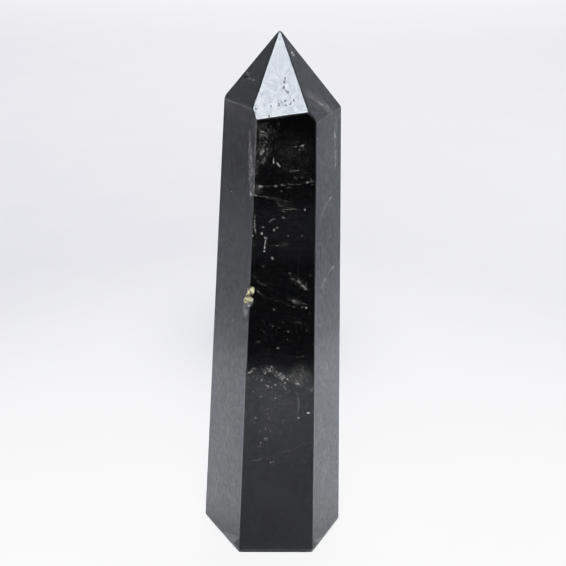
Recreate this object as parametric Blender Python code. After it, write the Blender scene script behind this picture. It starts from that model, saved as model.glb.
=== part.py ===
"""A polished point of morion, which is nearly black smoky quartz: a six-sided prism that tapers
upwards, a six-facet tip and a foot cut flat, all in one solid crystal.

Metres, +Z up. The origin is the middle of the foot, and the front face looks along -Y.
An azimuth is an angle round the vertical axis, from the front (-Y) towards the right (+X).
A lean is how far a face's outward normal tips up from level.
"""

from math import cos, radians, sin
from typing import NamedTuple

import bmesh
import bpy
from mathutils import Matrix, Vector, noise

MM = 0.001

# Driving dimensions: the apex here, the side faces in PRISM_FACES and the point in TIP_FACETS.
APEX = Vector((-0.4, 0.5, 120.0)) * MM

# The rough block, against the widest side face's distance from the axis and the apex's height.
BLOCK_WIDER = 1.5
BLOCK_TALLER = 1.2

# Corners closer together than this count as one where faces meet.
FACES_MEET_WITHIN = 0.001 * MM

# The ground edges are very slightly rounded, so that they don't cut the hand.
EDGE_ROUNDING = 0.25 * MM
EDGE_ROUNDING_STEPS = 2
SHARPEST_EDGE_KEPT = radians(15)

# The lumps on a broken surface, as a share of the chip's own size.
BREAK_ROUGHNESS = 0.16
BREAK_LUMPS_ACROSS = 1.7
CHIP_BALL_DETAIL = 3

MORION_BLACK = (0.012, 0.010, 0.011, 1.0)
MORION_ROUGHNESS = 0.08
QUARTZ_IOR = 1.544


class PrismFace(NamedTuple):
    """A side of the prism: its distance from the axis is taken at the foot."""

    azimuth: float
    lean: float
    from_axis: float


class TipFacet(NamedTuple):
    """A facet of the point, which always runs through the apex."""

    azimuth: float
    lean: float


class Chip(NamedTuple):
    """A broken place, as the ball that bites it out: the ball's half-sizes run across, up and into
    the face whose azimuth and lean are given, and its middle may stand outside the crystal."""

    name: str
    middle: Vector
    half_size: Vector
    azimuth: float
    lean: float


PRISM_FACES = (
    PrismFace(azimuth=0.0, lean=1.8, from_axis=14.1 * MM),
    PrismFace(azimuth=61.0, lean=2.0, from_axis=15.0 * MM),
    PrismFace(azimuth=120.0, lean=1.8, from_axis=13.7 * MM),
    PrismFace(azimuth=180.0, lean=1.9, from_axis=14.1 * MM),
    PrismFace(azimuth=-120.0, lean=2.3, from_axis=14.5 * MM),
    PrismFace(azimuth=-59.5, lean=2.3, from_axis=14.0 * MM),
)

TIP_FACETS = (
    TipFacet(azimuth=-7.0, lean=37.6),
    TipFacet(azimuth=61.0, lean=37.5),
    TipFacet(azimuth=123.0, lean=33.6),
    TipFacet(azimuth=174.0, lean=39.5),
    TipFacet(azimuth=-120.0, lean=35.0),
    TipFacet(azimuth=-62.0, lean=34.7),
)

CHIPS = (
    Chip(
        name="front_left_edge_upper",
        middle=Vector((-5.9, -12.4, 67.9)) * MM,
        half_size=Vector((1.2, 1.2, 0.9)) * MM,
        azimuth=-30.0,
        lean=2.0,
    ),
    Chip(
        name="front_left_edge_lower",
        middle=Vector((-6.3, -12.4, 65.4)) * MM,
        half_size=Vector((1.7, 1.7, 1.0)) * MM,
        azimuth=-30.0,
        lean=2.0,
    ),
    Chip(
        name="tip_left_flake",
        middle=Vector((-7.65, -0.5, 111.1)) * MM,
        half_size=Vector((2.3, 1.3, 0.7)) * MM,
        azimuth=-62.0,
        lean=34.7,
    ),
    Chip(
        name="front_right_foot_corner",
        middle=Vector((9.3, -14.6, -0.8)) * MM,
        half_size=Vector((1.9, 1.1, 1.2)) * MM,
        azimuth=15.0,
        lean=0.0,
    ),
)


def outward_normal(azimuth, lean):
    """The unit normal of a face, from its two angles in degrees."""
    azimuth, lean = radians(azimuth), radians(lean)
    level = Vector((sin(azimuth), -cos(azimuth), 0.0))
    return level * cos(lean) + Vector((0.0, 0.0, sin(lean)))


def face_axes(azimuth, lean):
    """The matrix whose columns run across a face, up it and out of it."""
    outward = outward_normal(azimuth, lean)
    across = Vector((0.0, 0.0, 1.0)).cross(outward).normalized()
    return Matrix((across, outward.cross(across), outward)).transposed().to_4x4()


def grind_flat(crystal, point, normal):
    """Takes off all that lies outside the plane, and closes the crystal with one flat face."""
    everything = crystal.verts[:] + crystal.edges[:] + crystal.faces[:]
    cut = bmesh.ops.bisect_plane(
        crystal,
        geom=everything,
        dist=FACES_MEET_WITHIN,
        plane_co=point,
        plane_no=normal,
        clear_outer=True,
    )
    rim = [item for item in cut["geom_cut"] if isinstance(item, bmesh.types.BMEdge)]
    open_rim = [edge for edge in rim if edge.is_boundary]
    bmesh.ops.contextual_create(crystal, geom=open_rim)


def rough_block():
    """A block that every face of the crystal still has to be ground out of, standing on Z = 0."""
    block = bmesh.new()
    half_width = BLOCK_WIDER * max(face.from_axis for face in PRISM_FACES)
    height = BLOCK_TALLER * APEX.z
    stretch = Matrix.Diagonal((2 * half_width, 2 * half_width, height, 1.0))
    lift = Matrix.Translation((0.0, 0.0, height / 2))
    bmesh.ops.create_cube(block, size=1.0, matrix=lift @ stretch)
    return block


def ground_crystal():
    """The crystal with all its flat faces and sharp edges."""
    crystal = rough_block()
    for face in PRISM_FACES:
        at_foot = outward_normal(face.azimuth, 0.0) * face.from_axis
        grind_flat(crystal, at_foot, outward_normal(face.azimuth, face.lean))
    for facet in TIP_FACETS:
        grind_flat(crystal, APEX, outward_normal(facet.azimuth, facet.lean))
    bmesh.ops.recalc_face_normals(crystal, faces=crystal.faces)
    return crystal


def add_object(name, shape):
    """Puts a bmesh in the scene as an object, and frees it."""
    mesh = bpy.data.meshes.new(name)
    shape.to_mesh(mesh)
    shape.free()
    thing = bpy.data.objects.new(name, mesh)
    bpy.context.scene.collection.objects.link(thing)
    return thing


def chip_cutter(chip):
    """A lumpy ball whose dents and rises leave a broken surface where it bites into the crystal."""
    ball = bmesh.new()
    bmesh.ops.create_icosphere(ball, subdivisions=CHIP_BALL_DETAIL, radius=1.0)
    for corner in ball.verts:
        lump = noise.noise(corner.co * BREAK_LUMPS_ACROSS + chip.middle / MM)
        corner.co *= 1.0 + BREAK_ROUGHNESS * lump
    size = Matrix.Diagonal((*chip.half_size, 1.0))
    ball.transform(Matrix.Translation(chip.middle) @ face_axes(chip.azimuth, chip.lean) @ size)
    cutter = add_object(f"cutter_{chip.name}", ball)
    cutter.hide_render = True
    cutter.display_type = "WIRE"
    return cutter


def round_edges(crystal):
    rounding = crystal.modifiers.new("ground edges", "BEVEL")
    rounding.width = EDGE_ROUNDING
    rounding.segments = EDGE_ROUNDING_STEPS
    rounding.limit_method = "ANGLE"
    rounding.angle_limit = SHARPEST_EDGE_KEPT


def break_out(crystal, chip):
    breaking = crystal.modifiers.new(chip.name, "BOOLEAN")
    breaking.operation = "DIFFERENCE"
    breaking.solver = "EXACT"
    breaking.object = chip_cutter(chip)


def morion():
    """Nearly black smoky quartz, polished like glass."""
    material = bpy.data.materials.new("morion")
    material.use_nodes = True
    shader = material.node_tree.nodes["Principled BSDF"]
    shader.inputs["Base Color"].default_value = MORION_BLACK
    shader.inputs["Roughness"].default_value = MORION_ROUGHNESS
    shader.inputs["Metallic"].default_value = 0.0
    shader.inputs["IOR"].default_value = QUARTZ_IOR
    material.diffuse_color = MORION_BLACK
    return material


def main():
    for leftover in list(bpy.data.objects):
        bpy.data.objects.remove(leftover)
    crystal = add_object("morion_crystal", ground_crystal())
    crystal.data.materials.append(morion())
    round_edges(crystal)
    for chip in CHIPS:
        break_out(crystal, chip)


main()
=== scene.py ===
"""A polished point of morion, which is nearly black smoky quartz, with what is sealed in it and
the studio that it stands in. The file is laid out as an add-on and is run as a script.

Metres, +Z up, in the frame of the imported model: the foot stands on Z = 0 and the front face looks
along -Y. An azimuth is an angle round the vertical axis, from the front towards the right (+X).
A lean is how far a face's outward normal tips up from level.
"""

from math import cos, pi, radians, sin
from random import Random
from typing import NamedTuple

import bpy
from bpy.props import FloatProperty, FloatVectorProperty, IntProperty, PointerProperty
from bpy.types import NodeSocket, Operator, Panel, PropertyGroup
from mathutils import Euler, Matrix, Vector


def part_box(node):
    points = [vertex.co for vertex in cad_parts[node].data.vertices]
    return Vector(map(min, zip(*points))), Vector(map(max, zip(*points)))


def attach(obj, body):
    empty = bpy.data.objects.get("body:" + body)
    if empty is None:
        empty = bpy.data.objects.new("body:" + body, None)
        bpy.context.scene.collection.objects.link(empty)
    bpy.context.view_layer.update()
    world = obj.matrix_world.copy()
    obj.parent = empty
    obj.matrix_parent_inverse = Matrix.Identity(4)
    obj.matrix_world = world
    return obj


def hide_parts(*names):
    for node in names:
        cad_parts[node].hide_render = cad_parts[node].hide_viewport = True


bl_info = {
    "name": "Morion Point",
    "version": (1, 0, 0),
    "blender": (4, 5, 0),
    "location": "3D View > Sidebar > Morion",
    "description": "Models a polished point of black smoky quartz, what is sealed in it and a studio",
    "category": "Object",
}

MM = 0.001
NODE = "morion_crystal"
BODY = "root"

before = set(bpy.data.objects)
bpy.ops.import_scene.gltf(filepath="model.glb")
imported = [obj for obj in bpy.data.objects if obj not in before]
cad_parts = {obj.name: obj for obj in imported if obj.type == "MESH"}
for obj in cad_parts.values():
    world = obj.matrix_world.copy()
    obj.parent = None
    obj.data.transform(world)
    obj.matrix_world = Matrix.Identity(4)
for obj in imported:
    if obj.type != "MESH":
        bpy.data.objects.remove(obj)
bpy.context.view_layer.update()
FOOT_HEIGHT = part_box(NODE)[0].z

PRISM_SIDES = ("front", "front_right", "back_right", "back", "back_left", "front_left")
TIP_SIDES = tuple(f"tip_{side}" for side in PRISM_SIDES)
HIDDEN_SIDES = ("back_right", "back", "back_left")


# ---------------------------------------------------------------- what a user would change


def colour_property(name, description, default):
    return FloatVectorProperty(
        name=name, description=description, size=3, subtype="COLOR", default=default
    )


def place_property(name, description, default):
    return FloatVectorProperty(
        name=name, description=description, size=3, subtype="TRANSLATION", unit="LENGTH", default=default
    )


def length_property(name, description, default):
    return FloatProperty(name=name, description=description, unit="LENGTH", default=default)


def angle_property(name, description, degrees):
    return FloatProperty(
        name=name, description=description, unit="ROTATION", default=radians(degrees)
    )


def share_property(name, description, default):
    return FloatProperty(
        name=name, description=description, subtype="FACTOR", min=0.0, max=1.0, default=default
    )


def side_angles(name, description, degrees):
    """An angle for each of the six sides, or of the six tip facets."""
    angles = tuple(radians(angle) for angle in degrees)
    return FloatVectorProperty(
        name=name, description=description, size=6, unit="ROTATION", default=angles
    )


class MorionShape(PropertyGroup):
    """The ground faces of the crystal."""

    apex: place_property(
        "Apex",
        "Where the six tip facets would meet if the tip were perfectly sharp",
        (-0.4 * MM, 0.5 * MM, 120.0 * MM),
    )
    prism_azimuths: side_angles(
        "Side azimuths",
        "The way each side of the prism looks, round from the front",
        (0.0, 61.0, 120.0, 180.0, -120.0, -59.5),
    )
    prism_leans: side_angles(
        "Side leans",
        "How far each side tips back, which makes the prism narrow upwards",
        (1.8, 2.0, 1.8, 1.9, 2.3, 2.3),
    )
    prism_distances: FloatVectorProperty(
        name="Side distances",
        description="How far each side stands from the axis at the foot",
        size=6,
        unit="LENGTH",
        default=tuple(d * MM for d in (14.1, 15.0, 13.7, 14.1, 14.5, 14.0)),
    )
    tip_azimuths: side_angles(
        "Facet azimuths",
        "The way each tip facet looks, round from the front",
        (-7.0, 61.0, 123.0, 174.0, -120.0, -62.0),
    )
    tip_leans: side_angles(
        "Facet leans",
        "How far each tip facet tips back",
        (37.6, 37.5, 33.6, 39.5, 35.0, 34.7),
    )
    edge_rounding: length_property(
        "Edge rounding", "How wide the softened strip along every ground edge is", 0.25 * MM
    )
    polish_waves: length_property(
        "Polish waves",
        "How deep the broad hollows are that hand polishing leaves in the faces",
        0.015 * MM,
    )
    edge_nicks: IntProperty(
        name="Edge nicks",
        description="How many tiny chips wear has left along the edges",
        default=22,
        min=0,
    )


class MorionQuartz(PropertyGroup):
    """The quartz itself."""

    ior: FloatProperty(name="IOR", description="How strongly quartz bends light", default=1.544)
    smoke_colour: colour_property(
        "Smoke colour", "The colour of the light that gets through a thin edge", (0.44, 0.41, 0.14)
    )
    smoke_density: FloatProperty(
        name="Smoke density",
        description="How fast the quartz swallows light, per metre of depth",
        default=1100.0,
    )
    polish_roughness: share_property(
        "Polish roughness", "How blurred the reflections in the clean faces are", 0.035
    )
    corner_shine: share_property(
        "Corner shine", "How much more the strips beside the corners shine than the faces do", 0.65
    )
    shine_width: length_property("Shine width", "How far the shine of a corner reaches", 0.42 * MM)
    bloom: share_property(
        "Bloom", "How much more the cloudy patches of a face shine than its clean ones", 0.42
    )
    broken_roughness: share_property(
        "Broken roughness", "How blurred the reflections in the chips are", 0.5
    )


class MorionInclusions(PropertyGroup):
    """What is sealed in the quartz, and what lines its chips."""

    veil_colour: colour_property(
        "Veil colour", "The milky colour of the healed fractures", (0.80, 0.80, 0.82)
    )
    film_opacity: share_property("Film opacity", "How milky the healed fractures are", 0.5)
    crust_colour: colour_property(
        "Crust colour", "The cream mineral that lines the chip on the front left edge", (0.62, 0.60, 0.36)
    )
    stain_colour: colour_property(
        "Stain colour", "The olive brown stains on the crust", (0.10, 0.085, 0.03)
    )
    grain_size: length_property(
        "Grain size", "The width of an ordinary grain on a healed fracture", 0.11 * MM
    )
    grain_density: FloatProperty(
        name="Grain density",
        description="How many grains lie on a square millimetre of a dense fracture",
        default=2.4,
    )


class MorionStudio(PropertyGroup):
    """The floor, the light and the camera."""

    floor_colour: colour_property(
        "Floor colour", "The pale paper that the crystal stands on", (0.84, 0.84, 0.85)
    )
    sky_left: colour_property(
        "Room on the left", "The soft light of the room on the left", (0.16, 0.165, 0.19)
    )
    sky_right: colour_property(
        "Room on the right", "The soft light of the room on the right", (0.22, 0.225, 0.25)
    )
    lamp_strength: FloatProperty(
        name="Lamp strength",
        description="How strong all the lamps are, as a share of the strength they are set at",
        subtype="FACTOR",
        min=0.0,
        soft_max=2.0,
        default=1.0,
    )
    camera_place: place_property(
        "Camera place", "Where the camera stands", (-6.28 * MM, -218.59 * MM, 171.14 * MM)
    )
    camera_pitch: angle_property("Camera pitch", "How far the camera looks down", 26.14)
    camera_yaw: angle_property("Camera yaw", "How far the camera looks towards the right", 2.01)
    camera_roll: angle_property("Camera roll", "How far the camera is tipped anticlockwise", 1.36)
    camera_lens: FloatProperty(
        name="Lens",
        description="The focal length on a 36 mm wide sensor",
        unit="CAMERA",
        default=69.97,
    )


# ---------------------------------------------------------------- places on the ground faces


class Face(NamedTuple):
    """A ground face: one point of its plane, and its two angles in radians."""

    point: Vector
    azimuth: float
    lean: float

    @property
    def across(self):
        return Vector((cos(self.azimuth), sin(self.azimuth), 0.0))

    @property
    def outward(self):
        level = Vector((sin(self.azimuth), -cos(self.azimuth), 0.0))
        return level * cos(self.lean) + Vector((0.0, 0.0, sin(self.lean)))

    @property
    def upward(self):
        return self.outward.cross(self.across)

    def place(self, across, height, depth=0.0):
        """The point that far across the face from the vertical axis, at that height above the
        foot and that deep under the surface."""
        along = self.across * (across - self.across.dot(self.point))
        climb = self.upward * ((height - self.point.z) / self.upward.z)
        return self.point + along + climb - self.outward * depth

    def axes(self):
        """The matrix whose columns run across the face, up it and out of it."""
        return Matrix((self.across, self.upward, self.outward)).transposed()


def ground_faces(shape):
    """Every ground face by name, the six sides first."""
    faces = {}
    sides = zip(PRISM_SIDES, shape.prism_azimuths, shape.prism_leans, shape.prism_distances)
    for name, azimuth, lean, distance in sides:
        level = Vector((sin(azimuth), -cos(azimuth), 0.0))
        faces[name] = Face(level * distance, azimuth, lean)
    for name, azimuth, lean in zip(TIP_SIDES, shape.tip_azimuths, shape.tip_leans):
        faces[name] = Face(Vector(shape.apex), azimuth, lean)
    return faces


# ---------------------------------------------------------------- modelling


def deselect_all():
    bpy.ops.object.select_all(action="DESELECT")


def pick(*objects):
    """Selects these objects alone, with the first one active."""
    deselect_all()
    for thing in objects:
        thing.select_set(True)
    bpy.context.view_layer.objects.active = objects[0]


def named(name):
    """Gives the newest primitive its name."""
    thing = bpy.context.active_object
    thing.name = name
    thing.data.name = name
    return thing


def settle(thing):
    """Puts an object's place, turn and size into its mesh."""
    pick(thing)
    bpy.ops.object.transform_apply(location=True, rotation=True, scale=True)


def start_editing(thing):
    """Opens an object's mesh, with all of it selected."""
    pick(thing)
    bpy.ops.object.mode_set(mode="EDIT")
    bpy.ops.mesh.select_all(action="SELECT")


def stop_editing():
    bpy.ops.object.mode_set(mode="OBJECT")


def apply_modifier(thing, modifier):
    pick(thing)
    bpy.ops.object.modifier_apply(modifier=modifier.name)


def joined(name, pieces):
    """Makes one settled piece out of several."""
    pick(*pieces)
    if len(pieces) > 1:
        bpy.ops.object.join()
    piece = named(name)
    settle(piece)
    return piece


def own_copy(pattern):
    """A copy with its own mesh."""
    copy = pattern.copy()
    copy.data = pattern.data.copy()
    bpy.context.collection.objects.link(copy)
    return copy


def lie_on(thing, face, point, half_size, turn=0.0):
    """Sets a unit shape at a point, lying along a face, stretched and turned (degrees) in it."""
    thing.matrix_world = (
        Matrix.Translation(point)
        @ face.axes().to_4x4()
        @ Matrix.Rotation(radians(turn), 4, "Z")
        @ Matrix.Diagonal((*half_size, 1.0))
    )


def lump(thing, kind, size, depth, middle=0.5, **settings):
    """Pushes a mesh in and out by one of Blender's solid textures."""
    texture = bpy.data.textures.new(f"{thing.name}_{kind.lower()}", kind)
    texture.noise_scale = size
    for name, value in settings.items():
        setattr(texture, name, value)
    push = thing.modifiers.new("lumps", "DISPLACE")
    push.texture = texture
    push.texture_coords = "LOCAL"
    push.strength = depth
    push.mid_level = middle
    apply_modifier(thing, push)
    bpy.data.textures.remove(texture)


def lumpy_ball(name, detail, lump_size, lump_depth, turn=(0.0, 0.0, 0.0)):
    """A lumpy ball a metre in radius, to be set at its real size later."""
    deselect_all()
    bpy.ops.mesh.primitive_ico_sphere_add(subdivisions=detail, radius=1.0, rotation=turn)
    ball = named(name)
    settle(ball)
    lump(ball, "CLOUDS", lump_size, lump_depth)
    return ball


def cut_out(crystal, cutter):
    """Takes the cutter's shape out of the crystal, and throws the cutter away."""
    biting = crystal.modifiers.new("bite", "BOOLEAN")
    biting.operation = "DIFFERENCE"
    biting.solver = "EXACT"
    biting.object = cutter
    apply_modifier(crystal, biting)
    bpy.data.objects.remove(cutter)


def cut_out_copies(crystal, pattern, copies):
    """Takes all the copies of a pattern out of the crystal at once."""
    bpy.data.objects.remove(pattern)
    if copies:
        cut_out(crystal, joined("cutter", copies))


def mark_thickness(sheet, values):
    """Marks how dense each point is, for the sheet's material and for the grains strewn on it."""
    marks = sheet.data.attributes.new("thickness", "FLOAT", "POINT")
    for mark, value in zip(marks.data, values):
        mark.value = value


def ride_along(piece, material):
    """Finishes a piece: its material, and the body and slot that it belongs to."""
    piece.data.materials.clear()
    piece.data.materials.append(material)
    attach(piece, BODY)


# ---------------------------------------------------------------- shader nodes


def feed(node, inputs):
    """Feeds a node's inputs with sockets or plain values."""
    for name, value in inputs.items():
        if isinstance(value, NodeSocket):
            node.id_data.links.new(value, node.inputs[name])
        else:
            node.inputs[name].default_value = value


def add_node(tree, kind, inputs=None, **settings):
    """Adds a node, sets it and feeds it."""
    node = tree.nodes.new(kind)
    for name, value in settings.items():
        setattr(node, name, value)
    feed(node, inputs or {})
    return node


def calculate(tree, operation, *values, clamp=False):
    """A Math node's result."""
    inputs = dict(enumerate(values))
    return add_node(tree, "ShaderNodeMath", inputs, operation=operation, use_clamp=clamp).outputs[0]


def combine(tree, operation, *vectors, gives="Value"):
    """A Vector Math node's result."""
    inputs = dict(enumerate(vectors))
    return add_node(tree, "ShaderNodeVectorMath", inputs, operation=operation).outputs[gives]


def remap(tree, value, low, high, to_low=0.0, to_high=1.0):
    """The value carried from one range to another with soft ends."""
    inputs = {"Value": value, "From Min": low, "From Max": high, "To Min": to_low, "To Max": to_high}
    node = add_node(tree, "ShaderNodeMapRange", inputs, interpolation_type="SMOOTHSTEP")
    return node.outputs["Result"]


def mix_colours(tree, factor, first, second):
    """From the first colour at 0 to the second at 1. A Mix node gives its number, vector and colour
    sockets the same names, so its colour sockets are told by their places."""
    inputs = {0: factor, 6: first, 7: second}
    return add_node(tree, "ShaderNodeMix", inputs, data_type="RGBA").outputs[2]


def grain(tree, where, scale, detail=3.0, roughness=0.5):
    """A solid noise with this many cells to a metre."""
    inputs = {"Vector": where, "Scale": scale, "Detail": detail, "Roughness": roughness}
    return add_node(tree, "ShaderNodeTexNoise", inputs).outputs["Fac"]


def stretch(tree, where, scale, turn=(0.0, 0.0, 0.0)):
    """Coordinates for a texture that is drawn out along one way."""
    inputs = {"Vector": where, "Scale": scale, "Rotation": turn}
    return add_node(tree, "ShaderNodeMapping", inputs).outputs["Vector"]


def opaque(colour, share=1.0):
    """The colour, or that share of its light, with no see-through."""
    return (*(share * part for part in colour), 1.0)


def new_material(name):
    """A material, with its nodes, its shader and the object's own coordinates."""
    material = bpy.data.materials.new(name)
    material.use_nodes = True
    tree = material.node_tree
    where = add_node(tree, "ShaderNodeTexCoord").outputs["Object"]
    return material, tree, tree.nodes["Principled BSDF"], where


def thickness(tree):
    """How dense a sheet or a grain is marked to be."""
    return add_node(tree, "ShaderNodeAttribute", attribute_name="thickness").outputs["Fac"]


def new_group(name, vectors, numbers, outputs):
    """An empty node group, with what it is given and the node that takes what it gives."""
    group = bpy.data.node_groups.new(name, "ShaderNodeTree")
    for socket in vectors:
        group.interface.new_socket(socket, in_out="INPUT", socket_type="NodeSocketVector")
    for socket, default in numbers.items():
        made = group.interface.new_socket(socket, in_out="INPUT", socket_type="NodeSocketFloat")
        made.default_value = default
    for socket in outputs:
        group.interface.new_socket(socket, in_out="OUTPUT", socket_type="NodeSocketFloat")
    return group, group.nodes.new("NodeGroupInput").outputs, group.nodes.new("NodeGroupOutput")


def worn_place_group():
    """A ragged round mask about one place, 1 in the middle and 0 outside."""
    name = "worn place"
    if name in bpy.data.node_groups:
        return bpy.data.node_groups[name]
    numbers = {"Radius": 2.0 * MM, "Raggedness": 0.5}
    group, given, sink = new_group(name, ("Vector", "Centre"), numbers, ("Mask",))
    apart = combine(group, "DISTANCE", given["Vector"], given["Centre"])
    share = calculate(group, "DIVIDE", apart, given["Radius"])
    rag = calculate(group, "SUBTRACT", grain(group, given["Vector"], 1400.0, 5.0), 0.5)
    ragged = calculate(group, "MULTIPLY_ADD", rag, given["Raggedness"], share)
    feed(sink, {"Mask": remap(group, ragged, 0.55, 1.05, 1.0, 0.0)})
    return group


def corner_group():
    """1 along one straight line and 0 away from it."""
    name = "ground corner"
    if name in bpy.data.node_groups:
        return bpy.data.node_groups[name]
    vectors = ("Vector", "Start", "Direction")
    group, given, sink = new_group(name, vectors, {"Width": 0.4 * MM}, ("Mask",))
    apart = combine(group, "SUBTRACT", given["Vector"], given["Start"], gives="Vector")
    square = combine(group, "CROSS_PRODUCT", apart, given["Direction"], gives="Vector")
    share = calculate(group, "DIVIDE", combine(group, "LENGTH", square), given["Width"])
    feed(sink, {"Mask": remap(group, share, 0.3, 1.0, 1.0, 0.0)})
    return group


def hand_polish_group():
    """What lapping and handling leave on a polished face: faint smears, fine scratches that run
    two ways, and pits that come in patches."""
    name = "hand polish"
    if name in bpy.data.node_groups:
        return bpy.data.node_groups[name]
    group, given, sink = new_group(name, ("Vector",), {}, ("Smear", "Scratches", "Pits"))
    where = given["Vector"]
    smear = remap(group, grain(group, where, 110.0, 4.0, 0.6), 0.42, 0.68)
    upright = stretch(group, where, (1.0, 1.0, 0.06), (0.3, 0.2, 0.0))
    lines = remap(group, grain(group, upright, 2600.0, 2.0), 0.66, 0.74)
    level = stretch(group, where, (0.05, 0.05, 1.0), (0.1, 0.5, 0.4))
    others = remap(group, grain(group, level, 2200.0, 2.0), 0.69, 0.76)
    cell_inputs = {"Vector": where, "Scale": 1500.0, "Randomness": 1.0}
    cells = add_node(group, "ShaderNodeTexVoronoi", cell_inputs).outputs["Distance"]
    patchy = remap(group, grain(group, where, 260.0, 3.0), 0.54, 0.62)
    marks = {
        "Smear": smear,
        "Scratches": calculate(group, "MAXIMUM", lines, others),
        "Pits": calculate(group, "MULTIPLY", remap(group, cells, 0.10, 0.2, 1.0, 0.0), patchy),
    }
    feed(sink, marks)
    return group


# ---------------------------------------------------------------- the crystal


class Chip(NamedTuple):
    """A broken place: a lumpy ball bites it out, and its half-sizes run across, up and into the
    face whose azimuth and lean are given in degrees."""

    middle: Vector
    half_size: Vector
    azimuth: float
    lean: float


CHIPS = {
    "front_left_edge_upper": Chip(
        Vector((-5.9, -12.4, 67.9)) * MM, Vector((1.2, 1.2, 0.9)) * MM, -30.0, 2.0
    ),
    "front_left_edge_lower": Chip(
        Vector((-6.3, -12.4, 65.4)) * MM, Vector((1.7, 1.7, 1.0)) * MM, -30.0, 2.0
    ),
    "tip_left_flake": Chip(
        Vector((-7.65, -0.5, 111.1)) * MM, Vector((2.3, 1.3, 0.7)) * MM, -62.0, 34.7
    ),
    "front_right_foot_corner": Chip(
        Vector((9.3, -14.6, -0.8)) * MM, Vector((1.9, 1.1, 1.2)) * MM, 15.0, 0.0
    ),
}

# The rough block, against the widest side's distance from the axis and the apex's height.
BLOCK_WIDTH = 3.2
BLOCK_HEIGHT = 1.2

# The cuts that make the flat faces fine enough to bend, and how near to one another cuts join up.
LEVEL_CUTS = 48
UPRIGHT_CUTS = 30
CUTS_JOIN_WITHIN = 0.001 * MM

# How the ground edges are softened, and how far apart the hollows of the hand polish lie.
EDGE_STEPS = 4
BLUNTEST_EDGE_SOFTENED = radians(15.0)
POLISH_WAVE_LENGTH = 9.0 * MM

# How smooth shading deals with the finished mesh.
MERGED_WITHIN = 0.012 * MM
SHARP_FROM = radians(32.0)
WEIGHTED_BY_AREA = 100

# The heights that the corners between the sides are followed from and to, and how far aside of
# its corner a shining strip lies, in widths of the strip.
CORNER_ENDS = (2.0 * MM, 103.0 * MM)
SHINE_ASIDE = 0.6

# The seeds of what is left to chance, the nicks' half-widths in millimetres and how much longer
# than wide they are.
NICK_SEED = 7
PIT_SEED = 3
NICK_SIZES = (0.14, 0.34)
NICK_STRETCH = (1.0, 2.6)
ANY_TURN = (0.0, 6.3)

# The smoke's faint zones, what each mark of the polish adds to the roughness, and how high marks
# and splinters stand in the relief.
CLEAR_ZONE = (1.0, 0.98, 0.95, 1.0)
SMOKY_ZONE = (0.86, 0.84, 0.80, 1.0)
MARK_ROUGHNESS = {"Smear": 0.035, "Scratches": 0.06, "Pits": 0.06}
MARK_HEIGHT = -0.08
SPLINTER_HEIGHT = 4.0
RELIEF_STRENGTH = 0.35
RELIEF_DEPTH = 0.03 * MM

# The pits in the bright facet, as (across, height) in millimetres.
FACET_PITS = (
    (1.3, 111.8), (1.3, 111.1), (1.9, 110.6), (1.3, 110.2), (2.1, 109.5),
    (0.9, 107.9), (1.7, 108.1), (1.9, 107.3), (2.8, 107.6), (3.5, 108.2),
    (0.5, 107.4), (-1.0, 107.0), (-3.8, 106.5), (-4.0, 105.9), (-1.3, 105.4),
)
PIT_BALL = 0.26 * MM
PIT_DEPTH = 0.12 * MM


class WornPlace(NamedTuple):
    """A chip or scuff that is rough: its middle, its radius and how ragged its rim is."""

    centre: Vector
    radius: float
    raggedness: float


WORN_PLACES = (
    WornPlace(Vector((-6.1, -12.0, 67.7)) * MM, 1.0 * MM, 0.7),
    WornPlace(Vector((-6.6, -11.7, 65.0)) * MM, 1.3 * MM, 0.7),
    WornPlace(Vector((-6.9, -10.9, 62.4)) * MM, 0.9 * MM, 1.8),
    WornPlace(Vector((-7.2, -10.6, 60.6)) * MM, 0.7 * MM, 1.8),
    WornPlace(Vector((9.2, -14.3, -0.3)) * MM, 1.6 * MM, 0.6),
    WornPlace(Vector((-6.0, -10.5, 89.0)) * MM, 0.5 * MM, 0.8),
)


def rough_block(shape):
    """A block that the whole crystal fits in, standing on Z = 0."""
    width = BLOCK_WIDTH * max(shape.prism_distances)
    height = BLOCK_HEIGHT * shape.apex[2]
    deselect_all()
    bpy.ops.mesh.primitive_cube_add(
        size=1.0, location=(0.0, 0.0, height / 2), scale=(width, width, height)
    )
    block = named("morion_point")
    settle(block)
    return block


def cut_through(point, normal, **settings):
    """Cuts all of the open mesh at a plane."""
    bpy.ops.mesh.select_all(action="SELECT")
    bpy.ops.mesh.bisect(plane_co=point, plane_no=normal, threshold=CUTS_JOIN_WITHIN, **settings)


def grind(crystal, faces):
    """Cuts the block back to each plane in turn, closing it with a flat face."""
    start_editing(crystal)
    for face in faces.values():
        cut_through(face.point, face.outward, use_fill=True, clear_outer=True)
    bpy.ops.mesh.select_all(action="SELECT")
    bpy.ops.mesh.normals_make_consistent(inside=False)
    stop_editing()


def soften_edges(crystal, width):
    """Rounds every ground edge."""
    start_editing(crystal)
    bpy.ops.mesh.select_mode(type="EDGE")
    bpy.ops.mesh.select_all(action="DESELECT")
    bpy.ops.mesh.edges_select_sharp(sharpness=BLUNTEST_EDGE_SOFTENED)
    bpy.ops.mesh.bevel(
        offset=width, offset_type="OFFSET", segments=EDGE_STEPS, profile=0.5, affect="EDGES"
    )
    stop_editing()


def slice_up(crystal, apex):
    """Cuts the flat faces into a mesh fine enough to bend a little: level cuts up the crystal, and
    upright cuts through its axis."""
    start_editing(crystal)
    for step in range(1, LEVEL_CUTS):
        cut_through((0.0, 0.0, apex[2] * step / LEVEL_CUTS), (0.0, 0.0, 1.0))
    for step in range(UPRIGHT_CUTS):
        turn = pi * (step + 0.5) / UPRIGHT_CUTS
        cut_through((apex[0], apex[1], 0.0), (cos(turn), sin(turn), 0.0))
    stop_editing()


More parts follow.
